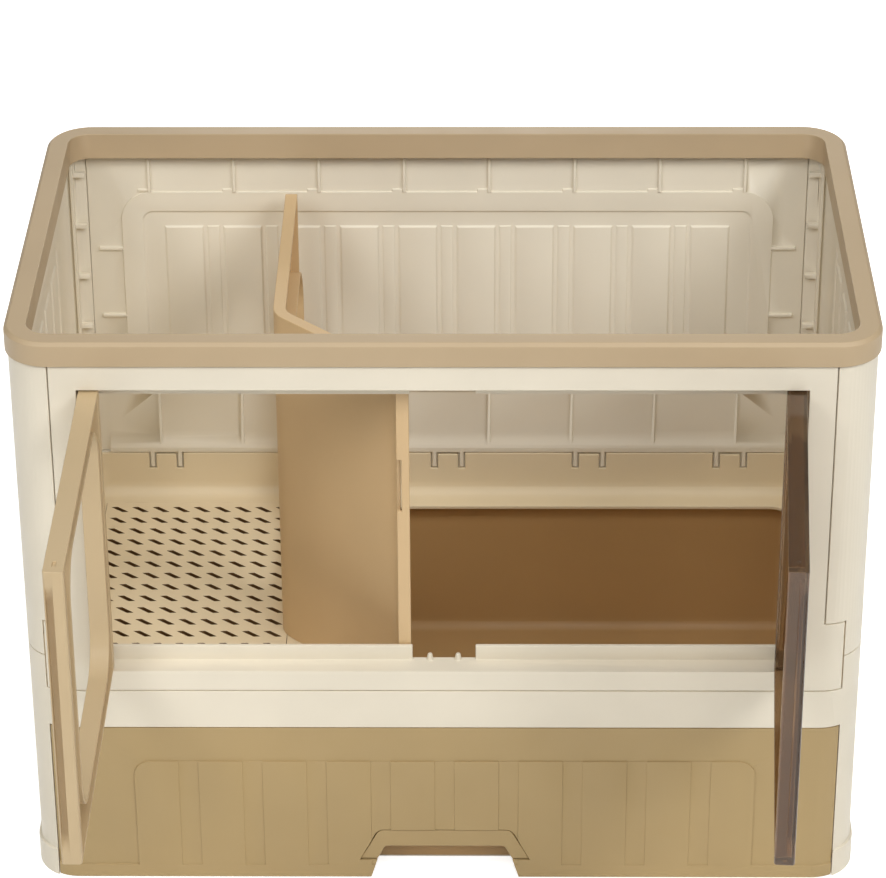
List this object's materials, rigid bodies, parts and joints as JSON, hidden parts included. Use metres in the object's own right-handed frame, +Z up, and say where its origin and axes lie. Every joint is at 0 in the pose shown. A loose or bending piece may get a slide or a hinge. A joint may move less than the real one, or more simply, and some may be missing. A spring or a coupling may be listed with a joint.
{
  "type": "litter box enclosure",
  "caption": "Rectangular moulded cat litter enclosure with swing doors, a bent divider with a doorway, a slotted step and a pull-out litter drawer under an open top",
  "frame": {"origin": "on the floor, in the middle of the enclosure's outline", "axes": "+X to the right, +Y to the back, +Z up; the doors and the drawer are on the -Y side"},
  "size_m": [0.6, 0.5857, 0.444],
  "materials": {
    "cream_plastic": "fine satin moulding grain",
    "tan_plastic": "satin",
    "khaki_plastic": "satin",
    "brown_plastic": "satin",
    "smoke_plastic": "see-through smoky gloss"
  },
  "bodies": {
    "enclosure": {"base_tub": "cream_plastic", "litter_deck": "tan_plastic", "litter_grid": "tan_plastic", "front_frame": "cream_plastic", "left_side_panel": "cream_plastic", "right_side_panel": "cream_plastic", "back_panel": "cream_plastic", "top_rim": "tan_plastic"},
    "partition": {"partition": "tan_plastic"},
    "left_door": {"left_door": "tan_plastic"},
    "right_door": {"right_door": "smoke_plastic"},
    "drawer": {"drawer_tray": "brown_plastic", "drawer_front": "khaki_plastic", "drawer_handle": "khaki_plastic"}
  },
  "joints": [
    {"name": "left_door_hinge", "type": "hinge", "parent": "enclosure", "child": "left_door", "pos_m": [-0.2415, -0.16825, 0.2933], "axis": [0, 0, 1], "range_deg": [-5, 90]},
    {"name": "right_door_hinge", "type": "hinge", "parent": "enclosure", "child": "right_door", "pos_m": [0.2415, -0.16825, 0.2933], "axis": [0, 0, 1], "range_deg": [-86, 9]},
    {"name": "drawer_slide", "type": "slide", "parent": "enclosure", "child": "drawer", "axis": [0, -1, 0], "range_m": [0, 0.25]},
    {"name": "partition_lift", "type": "slide", "parent": "enclosure", "child": "partition", "axis": [0, 0, 1], "range_m": [0, 0.32]}
  ]
}
